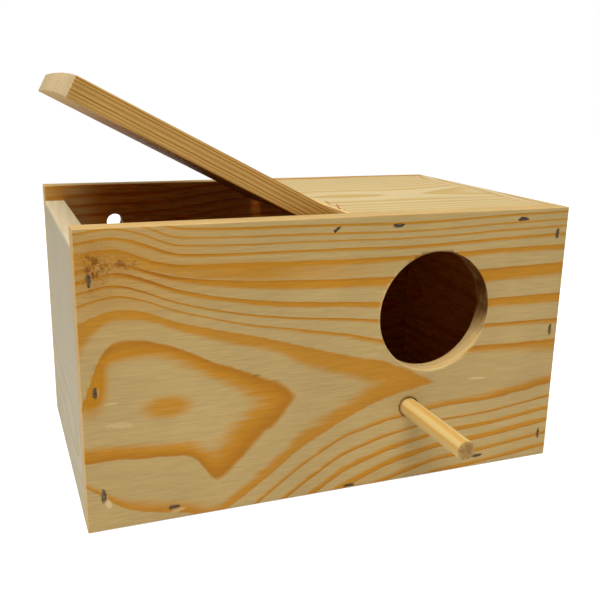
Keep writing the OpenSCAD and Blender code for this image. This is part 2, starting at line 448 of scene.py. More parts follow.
# %% The cupped lid
pin_x = -5.3 * MM
pin_z = 112.1 * MM
lid_w = 113 * MM
lid_t = 8.6 * MM
lid_cup = 1 * MM
lid_under_pin = 2.1 * MM
lid_reach = 109.6 * MM
lid_skew = 1.4 * MM
lid_heel = 6.6 * MM
heel_lean = math.tan(math.radians(26))
lid_turn = math.radians(27.3)
cup_r = ((lid_w / 2) ** 2 + lid_cup**2) / (2 * lid_cup)


def lid_shape(flat):
    """flat holds x, y and height over the underside of a plain block. Height gains the
    arch, cup - (cup_r - sqrt(cup_r^2 - y^2)), less the wood under the pin; x is shared
    out between the grip cut, -(reach + skew * (y / width + 1/2)), and the heel cut,
    heel - lean * (arch + height); then all turns about the pin line."""
    x, y, height = flat.T
    arch = lid_cup - (cup_r - np.sqrt(cup_r**2 - y**2))
    z = arch - lid_under_pin + height
    grip = -(lid_reach + lid_skew * (y / lid_w + 0.5))
    heel = lid_heel - heel_lean * (z + lid_under_pin)
    share = (x + lid_reach) / (lid_reach + lid_heel)
    x = grip + (heel - grip) * share
    turned_x = pin_x + x * math.cos(lid_turn) + z * math.sin(lid_turn)
    turned_z = pin_z - x * math.sin(lid_turn) + z * math.cos(lid_turn)
    return np.stack([turned_x, y, turned_z], 1)


lid_ease = 0.45 * MM
lid_steps = (1.7 * MM, 1.7 * MM, 1.4 * MM)
flat_points, lid_quads = block_surface(
    (-lid_reach, -lid_w / 2, 0), (lid_heel, lid_w / 2, lid_t), lid_ease, lid_steps
)
lid_points = lid_shape(flat_points)
lid = mesh_object("lid_wood", lid_points, lid_quads.tolist())
lid_low, lid_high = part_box("hinged_lid")
print("lid made", np.round(lid_points.min(0) / MM, 2), np.round(lid_points.max(0) / MM, 2))
print("lid CAD ", np.round(np.array(lid_low) / MM, 2), np.round(np.array(lid_high) / MM, 2))

# %% [markdown]
# ## The perch
# A perch is a length of ready-made dowel, so its section isn't perfectly round and its
# radius wavers a little along the way. The surface is a profile carried round the dowel's
# own line: a small broken chamfer at the tip, then the long side, then the flat end
# inside the box.

# %% The dowel
DOWEL_POINTS = 64
SIDE_ROWS = 46
perch_y = perch_low.y
perch_len = perch_high.y - perch_low.y
# The tip's profile: millimetres along the dowel, and the share of its radius there.
profile = np.array([
    [0.0, 0.0], [0.0, 0.45], [0.0, 0.80], [0.02, 0.90], [0.14, 0.965], [0.42, 1.0],
])
side_rows = np.linspace(1, perch_len / MM - 0.3, SIDE_ROWS)
along = np.concatenate([profile[:, 0], side_rows, [perch_len / MM]])
reach = np.concatenate([profile[:, 1], np.ones(SIDE_ROWS), [0.97]])
along = np.concatenate([along, [perch_len / MM]])
reach = np.concatenate([reach, [0.0]])
around = np.linspace(0, 2 * np.pi, DOWEL_POINTS, endpoint=False)
A, R = np.meshgrid(around, reach, indexing="xy")
depth = np.repeat(along[:, None], DOWEL_POINTS, axis=1)
oval = 1 - 0.006 * (1 + np.cos(2 * A + 0.6)) - 0.004 * (1 + np.sin(depth / 7))
tip = np.clip(1 - depth / 0.5, 0, 1) * (R > 0.5)
ragged = tip * 0.09 * (1 + np.sin(7 * A) * np.sin(3 * A + 1))
radius = perch_r * R * oval
x = perch_centre[0] + radius * np.cos(A)
z = perch_centre[1] + radius * np.sin(A)
y = perch_y + (depth + ragged) * MM
rows = slice(1, len(along) - 1)
poles = [[perch_centre[0], perch_y, perch_centre[1]], [perch_centre[0], perch_high.y, perch_centre[1]]]
perch = ring_solid("perch_wood", x[rows], y[rows], z[rows], poles)
print("perch is", round(perch_len / MM, 1), "mm long")

# %% [markdown]
# ## Growth rings
# Flat-sawn pine shows the tree's rings as long nested curves. A wood texture of straight
# bands can't give the front's closed loops and pointed tongues, so the figure is drawn
# the way a grainer would: at fifteen places along the board, the heights of each ring
# line, with a soft curve between them. The number of the ring at any point then rises
# smoothly by one from each line to the next, and goes on into the wood with depth.

# %% The drawn figure of the front board
FIGURE_X = (-105, -98, -90, -80, -70, -62, -55, -40, -27, -20, 0, 20, 45, 70, 105)
RIDGE_Z = (48, 48, 48, 48, 47.5, 47.2, 47, 46, 45.3, 45, 46, 47.5, 43, 44, 45)
RIDGE_RING = (0.3, 0.25, 0.15, 0.05, 0.08, 0.2, 0.42, 0.74, 0.9, 0.99, 1.42, 1.77, 1.985, 2.22, 2.5)
UPPER_LINES = (
    (45, 74, 77, 75.5, 71.5, 68, 64, 58, 53.5, 45, 46, 47.5, 43, 44, 45),
    (83.5, 86.2, 87.8, 86, 81, 79, 77, 73.3, 69.2, 67, 61, 56, 43.5, 44, 45),
    (89.5, 91.8, 93, 90, 85.5, 83.2, 81, 77, 74.7, 73.5, 69.8, 64.5, 60, 58, 57.5),
    (94, 96, 96.7, 93, 88.5, 86.2, 84.3, 81, 79, 78, 76.2, 73.7, 69.5, 67.5, 67),
    (98, 100.3, 101.5, 98, 93.5, 91.3, 89.5, 86.8, 85.2, 84.4, 82.8, 81.3, 79.5, 79, 79),
    (102, 104, 105, 101, 98, 96.7, 95.8, 94.5, 93.8, 93.4, 92.5, 92, 92, 92.5, 93),
    (108, 109.3, 110, 105, 102.5, 102, 101.8, 101.5, 101.2, 101, 100.5, 100.3, 100.5, 101, 101),
    (112, 113.4, 114, 111, 106.5, 106, 105.7, 105.4, 105.3, 105.2, 104.9, 104.3, 104.5, 105.5, 106),
)
UPPER_STEPS = (3.3, 6.2, 9.6, 13)
LOWER_LINES = (
    (28, 28, 28, 27, 26, 25.5, 9, 24.5, 34.5, 45, 46, 47.5, 43, 44, 45),
    (20, 13, 6.5, 3.8, 1.8, -0.5, -3, 6, 15, 20.8, 31.2, 38.8, 42.6, 44, 45),
    (-6, -7, -8, -9, -12, -14, -16, -2, 7.4, 12.5, 23.5, 28, 31, 31, 35),
)
LOWER_STEP = (9, 9, 9, 9, 9, 9, 9, 9, 9, 9, 8, 7, 6.3, 6, 6.2)
# For each ring, the share of its width where the orange late wood begins.
ONSET = (0.80, 0.66, 0.82, 0.82, 0.68, 0.60, 0.72, 0.72, 0.78, 0.75, 0.72, 0.8, 0.8, 0.8)
print(len(UPPER_LINES), "ring lines above the ridge and", len(LOWER_LINES), "below")

# %% [markdown]
# ### From the drawn lines to a ring number
# The lines say only where one ring ends and the next begins. A point between two of them
# is part of the way through a year, so its number is found by how far it has come from the
# one line to the other. Above and below the ridge, the middle of the figure, the lines are
# followed outwards in the same way.


# %% Reading the figure
SOFT_REACH = 16
SOFT_WIDTH = 6.5


def soft_curve(x, heights):
    """Straight pieces through the fifteen heights, then a bell-shaped moving average
    16 mm wide, read off at x (mm)."""
    fine = np.arange(-125.0, 126.0, 0.5)
    line = np.interp(fine, FIGURE_X, heights)
    weights = np.exp(-0.5 * (np.arange(-SOFT_REACH, SOFT_REACH + 1) / SOFT_WIDTH) ** 2)
    padded = np.pad(line, SOFT_REACH, mode="edge")
    line = np.convolve(padded, weights / weights.sum(), "valid")
    return np.interp(x, fine, line)


def half_figure(x, z, side, lines, ridge, inner):
    """The ring number on one side of the ridge: from each line to the next the number
    rises by one, in step with the height between the two lines."""
    ring = inner.copy()
    before = ridge
    for k, line in enumerate(lines, start=1):
        between = np.maximum(side * (line - before), 0.01)
        share = np.clip(side * (z - before) / between, 0, 1)
        above = np.maximum(k, inner)
        below = np.maximum(k - 1, inner) if k > 1 else inner
        ring = ring + (above - below) * share
        before = np.where(side * (line - before) > 0, line, before)
    return ring


def front_ring(x, z):
    """The ring number of the front face at x, z in mm."""
    ridge = soft_curve(x, RIDGE_Z)
    inner = soft_curve(x, RIDGE_RING)
    upper = [soft_curve(x, line) for line in UPPER_LINES]
    upper = upper + [upper[-1] + step for step in UPPER_STEPS]
    lower = [soft_curve(x, line) for line in LOWER_LINES]
    step = soft_curve(x, LOWER_STEP)
    lower = lower + [lower[-1] - step * n for n in range(1, 8)]
    over = half_figure(x, z, 1, upper, ridge, inner)
    under = half_figure(x, z, -1, lower, ridge, inner)
    return np.where(z >= ridge, over, under)


def onset_of(ring):
    """The late wood's start for a ring number, soft from ring to ring."""
    middles = np.arange(len(ONSET)) + 0.7
    return np.interp(ring, np.concatenate([[-0.6], middles]), (0.6,) + ONSET)


print("ring in the middle of the front:", float(front_ring(np.array([0.0]), np.array([60.0]))[0]))

# %% [markdown]
# ## Rings of the other boards
# The other boards show quieter figures, which a simple rule gives: the distance from the
# tree's pith, a line that runs beside the board and leans a little, divided by the width
# of a ring. Where the line passes close, the rings open into long arches; far away they
# are nearly straight. Two or three slow sine waves keep them from looking ruled.


# %% Rings from a pith line
def pith_ring(points, grain, pith, lean, width, sway, seed):
    """(d + 0.8 * sin(d / 9 + seed)) / ring width, where d is the distance of each point
    from a line along the grain axis. The line passes through pith, moves by lean per mm
    along the grain, and sways: sway * sin(t / 31 + seed) + sway / 2 * sin(t / 13 +
    2 * seed), t along the grain, and 0.6 of that in the second direction."""
    across = [i for i in range(3) if i != grain]
    t = points[:, grain] / MM
    wave = sway * np.sin(t / 31 + seed) + 0.5 * sway * np.sin(t / 13 + 2 * seed)
    u = points[:, across[0]] / MM - pith[0] - lean[0] * t - wave
    v = points[:, across[1]] / MM - pith[1] - lean[1] * t - 0.6 * wave
    distance = np.hypot(u, v)
    return (distance + 0.8 * np.sin(distance / 9 + seed)) / width


def store(piece, name, values):
    """Writes one number for each point of the piece as a named attribute."""
    attribute = piece.data.attributes.new(name, "FLOAT", "POINT")
    attribute.data.foreach_set("value", np.asarray(values, np.float32))


def points_of(piece):
    """The piece's points as rows of x, y, z in metres."""
    flat = np.empty(len(piece.data.vertices) * 3)
    piece.data.vertices.foreach_get("co", flat)
    return flat.reshape(-1, 3)


def bell(x, z, at, size):
    """exp of minus the squared distance from at, counted in sizes."""
    return np.exp(-(((x - at[0]) / size[0]) ** 2) - ((z - at[1]) / size[1]) ** 2)


NUMBERS = ("ring", "onset", "tint", "brown", "knot", "inside", "end", "scorch")
# In millimetres: how far an edge's own colour reaches, and how far an inner face's does.
EDGE = 0.35
SKIN = 0.2


def finish_attributes(piece, **numbers):
    """The numbers that the pine materials read at every point; those not given are 0."""
    for name in NUMBERS:
        store(piece, name, np.broadcast_to(numbers.get(name, 0.0), len(piece.data.vertices)))
    piece.data.polygons.foreach_set("use_smooth", np.ones(len(piece.data.polygons), bool))
    piece.data.set_sharp_from_angle(angle=math.radians(28))


def near_face(values, face, reach=0.2 * MM):
    """1 where a coordinate is within reach of a face's, else 0."""
    return (np.abs(values - face) < reach).astype(float)


def both_ends(x, low, high):
    """1 near either end of a board whose box runs from low to high, else 0."""
    return np.maximum(near_face(x, low.x / MM, EDGE), near_face(x, high.x / MM, EDGE))

# %% [markdown]
# ### What the front board stores
# Some places on the front differ from the plain rings. One ring near the top, the wood
# round the knot, and the heart and the left end of the closed loop are tinted (tint), the
# rings round the knot are browner (brown), and the knot itself is a small broken patch
# (knot). These fade within a millimetre of the face, while the rings go on into the wood.
# The upper right of the entrance's wall is painted a dark burnt brown: painted shade, where
# the light from above does not reach. The rest of the wall is pale: it shares the colour of
# the sawn ends (end), as end grain and painted light.


# %% The front's numbers
p = points_of(front)
x, y, z = (p / MM).T
deep = y - front_y / MM
outer = np.clip(1 - deep, 0, 1)
ring = front_ring(x, z)
tint = 0.8 * np.clip((ring - 5.9) / 0.25, 0, 1) * np.clip((7.15 - ring) / 0.25, 0, 1)
tint = tint * np.clip((25 - x) / 60, 0, 1)
tint = np.maximum(tint, 0.5 * bell(x, z, (-95, 101), (40, 19)))
heart = np.clip(2.1 * bell(x, z, (-73.5, 47.5), (10.5, 4.8)) - 0.55, 0, 1)
first_ring = np.clip((1 - ring) / 0.08, 0, 1)
loop_end = np.clip(2.6 * bell(x, z, (-102, 61), (6.5, 13)) - 0.5, 0, 1) * first_ring
tint = np.maximum(np.maximum(tint, 0.9 * heart), 1.1 * loop_end) * outer
brown = bell(x, z, (-79, 100), (19, 9)) * outer
knot_middle = bell(x, z, (-98.6, 102.6), (5.4, 7.4))
knot_side = bell(x, z, (-88.5, 103.8), (6.0, 3.2))
knot = np.clip(knot_middle + 0.75 * knot_side, 0, 1) * outer
# The entrance's wall: its upper right gets painted shade in dark brown, and the rest takes the pale end
# colour, as end grain and painted light.
wall = np.hypot(x - entrance[0] / MM, z - entrance[1] / MM) < entrance_r / MM + 0.3
wall_angle = np.degrees(np.arctan2(z - entrance[1] / MM, x - entrance[0] / MM))
scorch = wall * np.clip((wall_angle + 30) / 30, 0, 1) * np.clip((140 - wall_angle) / 30, 0, 1)
end_grain_and_lit_wall = 0.8 * wall * (1 - scorch)
later = 0.06 + 0.12 * np.clip((-48 - x) / 15, 0, 1)
second_below = (z < soft_curve(x, RIDGE_Z)) * np.clip((ring - 1) / 0.1, 0, 1) * (ring < 2)
onset = onset_of(ring) + later * second_below
# The top edge, turned up, takes 0.6 of the pale end colour: painted light.
lit_top_edge = near_face(z, front_high.z / MM, EDGE) * 0.6
ends = both_ends(x, front_low, front_high)
# The inner face, more than 8.8 mm behind the front face, is darkened by painted shade (inside).
finish_attributes(
    front, ring=ring + 0.30 * deep, onset=onset, tint=tint, brown=brown, knot=knot,
    inside=deep > 8.8, end=np.maximum(np.maximum(lit_top_edge, 0.7 * ends), end_grain_and_lit_wall), scorch=scorch,
)
print("front's ring numbers run from", round(ring.min(), 2), "to", round(ring.max(), 2))

# %% [markdown]
# ### What the quieter boards store
# The back, the sides, the roof and the floor need only the pith rule. Each gets its own
# pith line, so that no two look cut from one plank. The faces inside the box are marked,
# to be darkened by painted shade, and so are the sawn ends.

# %% The numbers of the back, sides, roof and floor
p = points_of(back)
x, y, z = (p / MM).T
ring = pith_ring(p, 0, (34, 40), (0.03, 0.03), 4.2, 1.6, 1.0)
inner_face = y < back_low.y / MM + SKIN
# The inner face carries painted shade, which fades out at the left end, where painted light (lit_end) tints
# it orange.
inside = inner_face * np.clip((x + 100) / 22, 0, 1)
ends = both_ends(x, back_low, back_high)
lit_end = inner_face * np.clip((-88 - x) / 9, 0, 1)
finish_attributes(
    back, ring=ring, onset=0.7, tint=0.75 * lit_end, inside=inside, end=0.7 * ends,
)

p = points_of(left_side)
ring = pith_ring(p, 1, (-150, 30), (0.02, 0.06), 2.3, 1.1, 2.0)
left_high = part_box("left_side_board")[1]
# The top edge under the roof, turned up, takes the pale end colour: painted light; the inner face below it
# carries painted shade (inside).
lit_seat = near_face(p[:, 2], left_high.z, EDGE * MM)
inside = (p[:, 0] > left_high.x - SKIN * MM) * (1 - lit_seat)
finish_attributes(left_side, ring=ring, onset=0.66, inside=inside, end=lit_seat)

p = points_of(right_side)
ring = pith_ring(p, 1, (62, 52), (0.06, 0.05), 3.8, 1.2, 4.0)
right_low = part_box("right_side_board")[0]
# The inner face carries painted shade (inside).
finish_attributes(right_side, ring=ring, onset=0.7, inside=p[:, 0] < right_low.x + SKIN * MM)

p = points_of(roof)
ring = pith_ring(p, 0, (-12, 60), (0.05, 0.02), 3.0, 1.3, 3.0)
roof_low, roof_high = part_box("roof_board")
# The left end face takes a bright end colour, end grain and painted light on a face in shade; the underside
# carries painted shade (inside).
roof_end = near_face(p[:, 0], roof_low.x, 0.3 * MM)
finish_attributes(
    roof, ring=ring, onset=0.6, end=roof_end, inside=p[:, 2] < roof_low.z + SKIN * MM
)

p = points_of(base)
ring = pith_ring(p, 0, (-10, -50), (-0.05, 0.0), 4.5, 1.5, 5.0)
# The top face and its hollow, inside the box, carry painted shade (inside).
finish_attributes(base, ring=ring, onset=0.7, inside=p[:, 2] > base_high.z - 4.2 * MM)
print("floor's ring numbers run from", round(ring.min(), 2), "to", round(ring.max(), 2))

# %% [markdown]
# ### What the lid and the perch store
# The lid's rings must lie along the board, not along the room, so its points are first
# turned back to the flat. Its flat place is stored too, for the fibres to follow. The saw
# cut at the grip and the cut end of the dowel show end grain.

# %% The numbers of the lid and the perch
p = points_of(lid)
flat_x = (p[:, 0] - pin_x) * math.cos(lid_turn) - (p[:, 2] - pin_z) * math.sin(lid_turn)
flat_z = (p[:, 0] - pin_x) * math.sin(lid_turn) + (p[:, 2] - pin_z) * math.cos(lid_turn)
flat = np.stack([flat_x, p[:, 1], flat_z], 1)
ring = pith_ring(flat, 0, (-8, -66), (0.02, 0.006), 1.1, 0.6, 0.5)
ring = ring + 0.22 * np.sin(1.7 * ring)
from_cut = flat_x + lid_reach + lid_skew * (p[:, 1] / lid_w + 0.5)
saw_cut = np.clip((EDGE * MM - from_cut) / MM / 0.3, 0, 1)
arch = lid_cup - (cup_r - np.sqrt(cup_r**2 - p[:, 1] ** 2)) - lid_under_pin
# The underside is darkened by painted shade (inside), growing from the grip end towards the hinge.
underside = near_face(flat_z, arch, 0.3 * MM) * np.clip((flat_x / MM + 108) / 30, 0, 1)
edges = near_face(np.abs(p[:, 1]), lid_w / 2, EDGE * MM) * (1 - saw_cut)
finish_attributes(
    lid, ring=ring, onset=0.55 + 0.15 * (1 - edges), tint=0.35 * edges, end=saw_cut, inside=underside
)
store(lid, "flat_x", flat_x)
store(lid, "flat_z", flat_z)

p = points_of(perch)
pith = (perch_centre[0] / MM - 7.5, perch_centre[1] / MM - 9.0)
ring = pith_ring(p, 1, pith, (0.012, 0.008), 3.3, 0.35, 1.4)
cut_end = np.clip(1 - (p[:, 1] - perch_y) / MM / EDGE, 0, 1)
finish_attributes(perch, ring=ring, onset=0.62, end=cut_end, knot=0.8 * cut_end)
ringed = [o for o in scene.objects if o.type == "MESH" and "ring" in o.data.attributes]
print("rings stored on", len(ringed), "pieces")

# %% [markdown]
# ## The pine, as node groups
# All the boards are the same wood, so what they share is built once as groups of nodes:
# the ring figure with its colours, and the fine fibres. A group has named inputs, and
# each board's material gives its own values. The first helper shortens the making of
# nodes; the groups then read almost like sentences.


# %% Helpers for nodes
def linear(red, green, blue):
    """A colour given as 0 to 255 on screen, turned into the light it stands for."""
    share = np.array([red, green, blue]) / 255
    light = np.where(share <= 0.04045, share / 12.92, ((share + 0.055) / 1.055) ** 2.4)
    return (*[float(c) for c in light], 1.0)


class Sheet:
    """A short way to add nodes to one node tree."""

    def __init__(self, tree):
        self.tree = tree

    def put(self, socket, value):
        """Wires a socket to the input, or sets the input's own value."""
        if isinstance(value, bpy.types.NodeSocket):
            self.tree.links.new(value, socket)
        else:
            socket.default_value = value

    def node(self, kind, **settings):
        made = self.tree.nodes.new(kind)
        for name, value in settings.items():
            setattr(made, name, value)
        return made

    def maths(self, operation, *values, clamp=False):
        made = self.node("ShaderNodeMath", operation=operation, use_clamp=clamp)
        for socket, value in zip(made.inputs, values):
            self.put(socket, value)
        return made.outputs[0]

    def vector(self, operation, *values):
        made = self.node("ShaderNodeVectorMath", operation=operation)
        for socket, value in zip(made.inputs, values):
            self.put(socket, value)
        return made.outputs["Value"] if operation == "LENGTH" else made.outputs["Vector"]

    def step(self, value, low, high, bottom=0.0, top=1.0):
        """Goes smoothly from bottom to top as value goes from low to high."""
        made = self.node("ShaderNodeMapRange", interpolation_type="SMOOTHSTEP")
        for name, setting in (
            ("Value", value), ("From Min", low), ("From Max", high),
            ("To Min", bottom), ("To Max", top),
        ):
            self.put(made.inputs[name], setting)
        return made.outputs["Result"]

    def noise(self, place, scale, detail=3.0, rough=0.55):
        made = self.node("ShaderNodeTexNoise")
        for name, setting in (
            ("Vector", place), ("Scale", scale), ("Detail", detail), ("Roughness", rough),
        ):
            self.put(made.inputs[name], setting)
        return made.outputs[0]

    def mix(self, share, first, second, kind="MIX"):
        made = self.node("ShaderNodeMix", data_type="RGBA", blend_type=kind)
        self.put(made.inputs[0], share)
        self.put(made.inputs[6], first)
        self.put(made.inputs[7], second)
        return made.outputs[2]

    def attribute(self, name):
        return self.node("ShaderNodeAttribute", attribute_name=name).outputs["Fac"]

    def group(self, group, **values):
        made = self.node("ShaderNodeGroup", node_tree=group)
        for name, value in values.items():
            self.put(made.inputs[name.replace("_", " ")], value)
        return made.outputs


def new_group(name, inputs, outputs):
    """A node group with these sockets: (name, kind, first value) in and (name, kind) out."""
    group = bpy.data.node_groups.new(name, "ShaderNodeTree")
    for label, kind, value in inputs:
        socket = group.interface.new_socket(name=label, in_out="INPUT", socket_type=kind)
        socket.default_value = value
    for label, kind in outputs:
        group.interface.new_socket(name=label, in_out="OUTPUT", socket_type=kind)
    sheet = Sheet(group)
    return group, sheet, sheet.node("NodeGroupInput").outputs, sheet.node("NodeGroupOutput").inputs


NUMBER = "NodeSocketFloat"
VECTOR = "NodeSocketVector"
COLOUR = "NodeSocketColor"

# %% [markdown]
# ### Fibres
# Wood fibres are far longer than they are wide. Stretching the coordinate before it goes
# into a noise does that: large numbers across the grain and small ones along it. Fine
# fibres change the colour a little and give the bump; slow clouds keep a large face from
# looking printed.

# %% The fibre group
fibre_group, sheet, source, sink = new_group(
    "Wood fibres",
    [("Point", VECTOR, (0, 0, 0)), ("Stretch", VECTOR, (60, 900, 900))],
    [("Streak", NUMBER), ("Fine", NUMBER), ("Cloud", NUMBER), ("Height", NUMBER)],
)
drawn = sheet.vector("MULTIPLY", source["Point"], source["Stretch"])
streak = sheet.noise(drawn, 0.45, 4, 0.6)
fine = sheet.noise(drawn, 1.9, 3, 0.65)
cloud = sheet.noise(source["Point"], 22, 2, 0.5)
height = sheet.maths("ADD", sheet.maths("MULTIPLY", fine, 0.6), sheet.maths("MULTIPLY", streak, 0.5))
sheet.put(sink["Streak"], streak)
sheet.put(sink["Fine"], fine)
sheet.put(sink["Cloud"], cloud)
sheet.put(sink["Height"], height)
print("fibre group has", len(fibre_group.nodes), "nodes")

# %% [markdown]
# ### Rings
# A ring begins pale, grows orange as the summer wood thickens, and stops at once where
# the next spring begins. So the share of the ring number after its whole part is read as
# a place within one year: a slow rise at the onset and a steep fall at the end. The
# fibres push the onset to and fro, which frays it along the grain as in real wood.

# %% The ring group
ring_group, sheet, source, sink = new_group(
    "Growth rings",
    [
        ("Ring", NUMBER, 0), ("Onset", NUMBER, 0.7), ("Point", VECTOR, (0, 0, 0)),
        ("Streak", NUMBER, 0.5), ("Seed", NUMBER, 0), ("Wobble", NUMBER, 0.1),
        ("Softness", NUMBER, 0.2), ("Fray", NUMBER, 0.3), ("Brown", NUMBER, 0), ("Even", NUMBER, 0.9),
        ("Pale", COLOUR, (1, 1, 1, 1)), ("Orange", COLOUR, (1, 0.5, 0, 1)),
        ("Rim", COLOUR, (0.6, 0.3, 0, 1)),
    ],
    [("Color", COLOUR), ("Late", NUMBER)],
)
bend = sheet.maths("SUBTRACT", sheet.noise(source["Point"], 75, 4, 0.6), 0.5)
ring = sheet.maths("ADD", source["Ring"], sheet.maths("MULTIPLY", bend, source["Wobble"]))
year = sheet.maths("FLOOR", ring)
season = sheet.maths("SUBTRACT", ring, year)
chance = sheet.node("ShaderNodeTexWhiteNoise", noise_dimensions="1D")
sheet.put(chance.inputs["W"], sheet.maths("ADD", year, source["Seed"]))
chance = chance.outputs["Value"]
push = sheet.maths("MULTIPLY", sheet.maths("SUBTRACT", source["Streak"], 0.5), source["Fray"])
onset = sheet.maths("ADD", source["Onset"], push)
begin = sheet.maths("SUBTRACT", onset, source["Softness"])
begin = sheet.maths("MINIMUM", begin, 0.86)
full = sheet.maths("ADD", onset, sheet.maths("MULTIPLY", source["Softness"], 0.6))
full = sheet.maths("MINIMUM", full, 0.93)
rise = sheet.step(season, begin, full)
fall = sheet.step(season, 0.955, 1.0, 1.0, 0.0)
strength = sheet.maths("SUBTRACT", 1.0, source["Even"])
strength = sheet.maths("ADD", source["Even"], sheet.maths("MULTIPLY", chance, strength))
late = sheet.maths("MULTIPLY", sheet.maths("MULTIPLY", rise, fall), strength)
wide = sheet.maths("SUBTRACT", 0.84, sheet.maths("MULTIPLY", source["Brown"], 0.3))
rim = sheet.maths("MULTIPLY", sheet.step(season, wide, 0.96), fall)
some = sheet.maths("ADD", 0.1, sheet.maths("MULTIPLY", chance, 0.3))
rim = sheet.maths("MULTIPLY", rim, sheet.maths("ADD", some, source["Brown"]), clamp=True)
colour = sheet.mix(late, source["Pale"], source["Orange"])
colour = sheet.mix(rim, colour, source["Rim"])
sheet.put(sink["Color"], colour)
sheet.put(sink["Late"], late)
print("ring group has", len(ring_group.nodes), "nodes")

# %% [markdown]
# ### Small marks
# Handling and driving staples leave small marks: pale torn fibres, a dark scratch, a
# pressed line. One group draws any of them: an oval with a given centre, half sizes and
# turn on the face, broken up by noise so that no mark is a clean shape.

# %% The mark group
mark_group, sheet, source, sink = new_group(
    "Small mark",
    [
        ("Point", VECTOR, (0, 0, 0)), ("Centre", VECTOR, (0, 0, 0)), ("Half", VECTOR, (1, 1, 1)),
        ("Turn", VECTOR, (0, 0, 0)), ("Break", NUMBER, 0.5),
    ],
    [("Mask", NUMBER)],
)
away = sheet.vector("SUBTRACT", source["Point"], source["Centre"])
turned = sheet.node("ShaderNodeVectorRotate", rotation_type="EULER_XYZ")
sheet.put(turned.inputs["Vector"], away)
sheet.put(turned.inputs["Rotation"], source["Turn"])
share = sheet.vector("LENGTH", sheet.vector("DIVIDE", turned.outputs["Vector"], source["Half"]))
crumbs = sheet.maths("SUBTRACT", sheet.noise(source["Point"], 1300, 3, 0.7), 0.5)
share = sheet.maths("ADD", share, sheet.maths("MULTIPLY", crumbs, source["Break"]))
sheet.put(sink["Mask"], sheet.step(share, 0.75, 1.05, 1.0, 0.0))

# %% [markdown]
# ### One material for each board
# A board's material reads the numbers stored on its points and its own coordinates, puts
# them through the groups, and then adds what belongs to that board alone: the brown of a
# knot, a tinted ring, painted shade on the faces inside the box, and its small marks.
# Planed pine is nearly matt, with a little more gloss on the dense late wood.

# %% The pine material
TORN = linear(218, 192, 142)
DARK = linear(90, 58, 24)
SPECK = linear(124, 74, 10)
KNOT = linear(160, 108, 36)
WALL_SHADE_BROWN = linear(84, 44, 4)
GRAIN_X = (55, 1000, 1000)
GRAIN_Y = (1000, 55, 1000)


